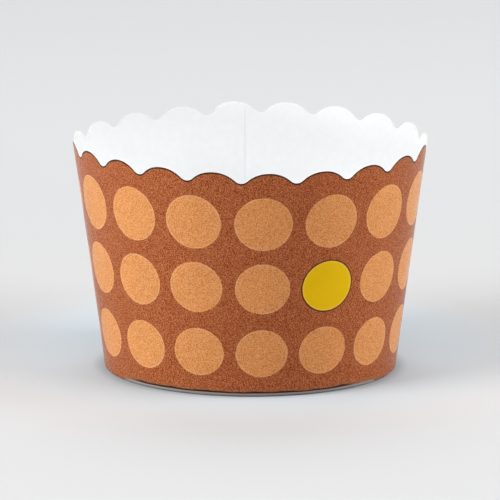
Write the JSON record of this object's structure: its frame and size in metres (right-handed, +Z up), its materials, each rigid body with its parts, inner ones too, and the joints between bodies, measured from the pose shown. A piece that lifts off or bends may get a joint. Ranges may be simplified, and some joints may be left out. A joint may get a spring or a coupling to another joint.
{
  "type": "cake cup",
  "caption": "Round tapered baking cup of film-laminated paper with a scalloped rim, a glued side lap and a raised base held in a folded hem.",
  "frame": {"origin": "on the cup's axis, at the surface that its foot stands on", "axes": "+Z up along the cup's axis to the scalloped rim; -Y is the front, with the glued lap at the back, towards +Y; +X to the right"},
  "size_m": [0.0698, 0.0702, 0.046],
  "materials": {
    "printed_paper": "satin",
    "white_paper": "satin"
  },
  "bodies": {
    "root": {"side_wall": "printed_paper", "base_disc": "white_paper"}
  },
  "joints": []
}
